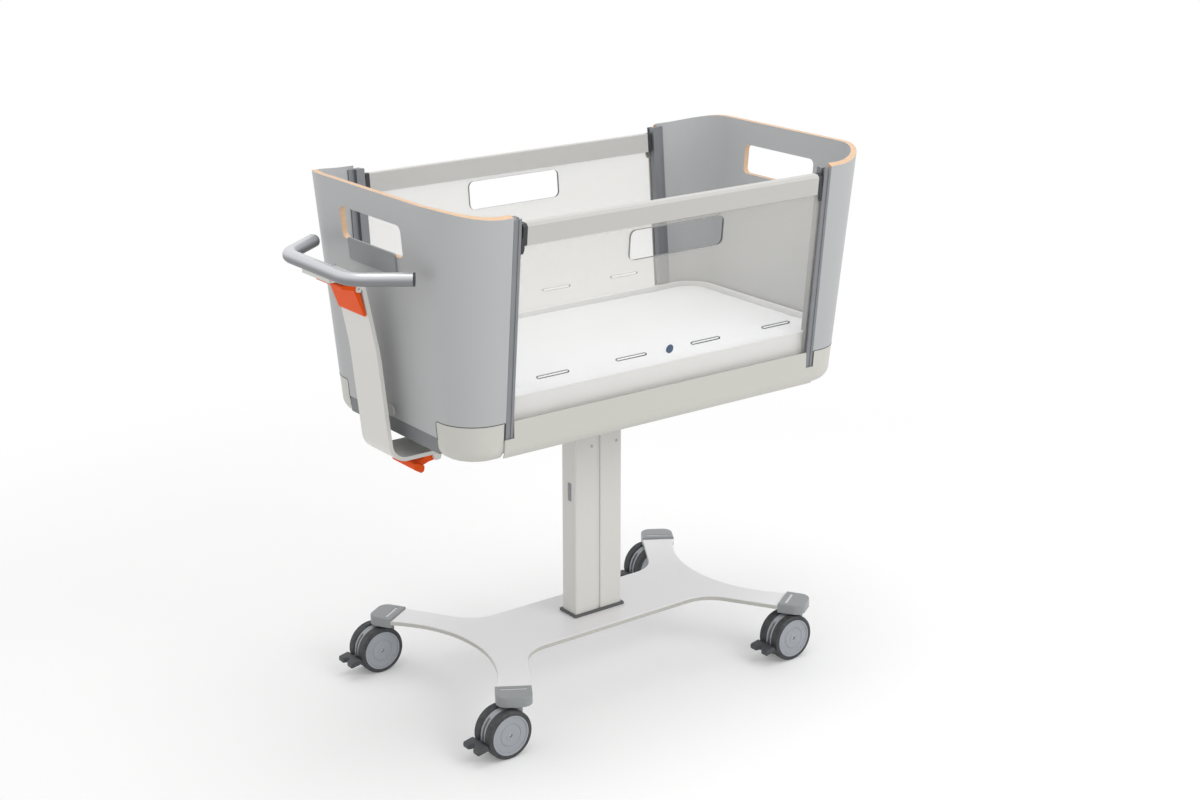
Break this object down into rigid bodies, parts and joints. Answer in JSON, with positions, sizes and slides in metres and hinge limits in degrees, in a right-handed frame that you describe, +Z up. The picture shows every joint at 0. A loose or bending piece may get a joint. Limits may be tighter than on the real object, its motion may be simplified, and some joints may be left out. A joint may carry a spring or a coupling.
{
  "type": "hospital bassinet",
  "caption": "Hospital bassinet: clear sliding sides, moulded ends and a white mattress on a height-adjustable tilting column with four braked castors.",
  "frame": {"origin": "on the floor under the middle of the cot's overall length and width, handle included", "axes": "+Z up, +X along the crib away from the push handle, +Y towards the back"},
  "size_m": [1.151, 0.5684, 1.09],
  "materials": {
    "white_metal": "satin",
    "cap_grey": "satin",
    "dark_steel": "satin",
    "bright_steel": "brushed",
    "fork_grey": "matte",
    "tyre_dark": "matte",
    "disc_grey": "matte",
    "pedal_dark": "matte",
    "cream_metal": "satin",
    "bush_plastic": "matte",
    "inner_aluminium": "anodised",
    "tray_plastic": "gloss",
    "mattress_fabric": "woven",
    "panel_laminate": "laminated",
    "strip_grey": "matte",
    "cream_plastic": "satin",
    "post_aluminium": "anodised dark grey",
    "clear_acrylic": "clear",
    "rail_aluminium": "powder coated",
    "black_plastic": "matte",
    "loop_aluminium": "satin anodised",
    "pad_grey": "matte",
    "button_cream": "matte",
    "orange_plastic": "satin"
  },
  "bodies": {
    "base": {"base_plate": "white_metal", "castor_caps": "cap_grey", "castor_stems": "dark_steel", "column_outer_tube": "cream_metal", "column_gasket": "pedal_dark", "glide_bush_upper": "bush_plastic", "gas_spring_rod": "bright_steel"},
    "swivel_front_left": {"castor_fork_front_left": "fork_grey", "castor_pins_front_left": "bright_steel"},
    "wheels_front_left": {"castor_tyres_front_left": "tyre_dark", "castor_discs_front_left": "disc_grey"},
    "pedal_front_left": {"castor_pedal_front_left": "pedal_dark"},
    "swivel_front_right": {"castor_fork_front_right": "fork_grey", "castor_pins_front_right": "bright_steel"},
    "wheels_front_right": {"castor_tyres_front_right": "tyre_dark", "castor_discs_front_right": "disc_grey"},
    "pedal_front_right": {"castor_pedal_front_right": "pedal_dark"},
    "swivel_back_left": {"castor_fork_back_left": "fork_grey", "castor_pins_back_left": "bright_steel"},
    "wheels_back_left": {"castor_tyres_back_left": "tyre_dark", "castor_discs_back_left": "disc_grey"},
    "pedal_back_left": {"castor_pedal_back_left": "pedal_dark"},
    "swivel_back_right": {"castor_fork_back_right": "fork_grey", "castor_pins_back_right": "bright_steel"},
    "wheels_back_right": {"castor_tyres_back_right": "tyre_dark", "castor_discs_back_right": "disc_grey"},
    "pedal_back_right": {"castor_pedal_back_right": "pedal_dark"},
    "lift": {"column_inner_tube": "inner_aluminium", "glide_bush_lower": "bush_plastic", "gas_spring_cylinder": "dark_steel", "tilt_head": "dark_steel", "tilt_pin": "bright_steel"},
    "crib": {"clamp_bolt": "bright_steel", "crib_frame": "dark_steel", "tray": "tray_plastic", "mattress": "mattress_fabric", "end_panel_left": "panel_laminate", "end_panel_right": "panel_laminate", "end_strips": "strip_grey", "corner_covers": "cream_plastic", "corner_post_front_left": "post_aluminium", "corner_post_front_right": "post_aluminium", "corner_post_back_left": "post_aluminium", "corner_post_back_right": "post_aluminium", "base_rail_front": "cream_plastic", "base_rail_back": "cream_plastic", "handle_arm": "cream_metal", "push_loop": "loop_aluminium", "loop_plugs": "black_plastic", "end_pad": "pad_grey", "end_buttons": "button_cream", "release_pins": "bright_steel"},
    "side_front": {"clear_side_front": "clear_acrylic", "top_rail_front": "rail_aluminium", "rail_ends_front": "black_plastic"},
    "side_back": {"clear_side_back": "clear_acrylic", "top_rail_back": "rail_aluminium", "rail_ends_back": "black_plastic"},
    "trigger": {"height_trigger": "orange_plastic"},
    "lever": {"tilt_lever": "orange_plastic"}
  },
  "joints": [
    {"name": "castor_swivel_front_left", "type": "hinge", "parent": "base", "child": "swivel_front_left", "pos_m": [-0.30545, -0.238, 0.11], "axis": [0, 0, 1], "continuous": true},
    {"name": "castor_roll_front_left", "type": "hinge", "parent": "swivel_front_left", "child": "wheels_front_left", "pos_m": [-0.33205, -0.238, 0.05], "axis": [0, 1, 0], "continuous": true},
    {"name": "castor_brake_front_left", "type": "hinge", "parent": "swivel_front_left", "child": "pedal_front_left", "pos_m": [-0.36945, -0.238, 0.044], "axis": [0, -1, 0], "range_deg": [0, 12]},
    {"name": "castor_swivel_front_right", "type": "hinge", "parent": "base", "child": "swivel_front_right", "pos_m": [0.42655, -0.238, 0.11], "axis": [0, 0, 1], "continuous": true},
    {"name": "castor_roll_front_right", "type": "hinge", "parent": "swivel_front_right", "child": "wheels_front_right", "pos_m": [0.39995, -0.238, 0.05], "axis": [0, 1, 0], "continuous": true},
    {"name": "castor_brake_front_right", "type": "hinge", "parent": "swivel_front_right", "child": "pedal_front_right", "pos_m": [0.36255, -0.238, 0.044], "axis": [0, -1, 0], "range_deg": [0, 12]},
    {"name": "castor_swivel_back_left", "type": "hinge", "parent": "base", "child": "swivel_back_left", "pos_m": [-0.30545, 0.238, 0.11], "axis": [0, 0, 1], "continuous": true},
    {"name": "castor_roll_back_left", "type": "hinge", "parent": "swivel_back_left", "child": "wheels_back_left", "pos_m": [-0.33205, 0.238, 0.05], "axis": [0, 1, 0], "continuous": true},
    {"name": "castor_brake_back_left", "type": "hinge", "parent": "swivel_back_left", "child": "pedal_back_left", "pos_m": [-0.36945, 0.238, 0.044], "axis": [0, -1, 0], "range_deg": [0, 12]},
    {"name": "castor_swivel_back_right", "type": "hinge", "parent": "base", "child": "swivel_back_right", "pos_m": [0.42655, 0.238, 0.11], "axis": [0, 0, 1], "continuous": true},
    {"name": "castor_roll_back_right", "type": "hinge", "parent": "swivel_back_right", "child": "wheels_back_right", "pos_m": [0.39995, 0.238, 0.05], "axis": [0, 1, 0], "continuous": true},
    {"name": "castor_brake_back_right", "type": "hinge", "parent": "swivel_back_right", "child": "pedal_back_right", "pos_m": [0.36255, 0.238, 0.044], "axis": [0, -1, 0], "range_deg": [0, 12]},
    {"name": "column_lift", "type": "slide", "parent": "base", "child": "lift", "axis": [0, 0, 1], "range_m": [0, 0.28]},
    {"name": "crib_tilt", "type": "hinge", "parent": "lift", "child": "crib", "pos_m": [0.06055, 0, 0.588], "axis": [0, 1, 0], "range_deg": [-12, 12]},
    {"name": "side_drop_front", "type": "slide", "parent": "crib", "child": "side_front", "axis": [0, 0.0896, -0.996], "range_m": [0, 0.26]},
    {"name": "side_drop_back", "type": "slide", "parent": "crib", "child": "side_back", "axis": [0, -0.0896, -0.996], "range_m": [0, 0.26]},
    {"name": "height_release", "type": "hinge", "parent": "crib", "child": "trigger", "pos_m": [-0.50545, 0, 0.92], "axis": [0, 1, 0], "range_deg": [0, 10], "stiffness_Nm_per_rad": 0.8, "springref_deg": -8.59},
    {"name": "tilt_release", "type": "hinge", "parent": "crib", "child": "lever", "pos_m": [-0.33645, 0, 0.556], "axis": [0, 1, 0], "range_deg": [0, 10], "stiffness_Nm_per_rad": 0.8, "springref_deg": -8.59}
  ]
}
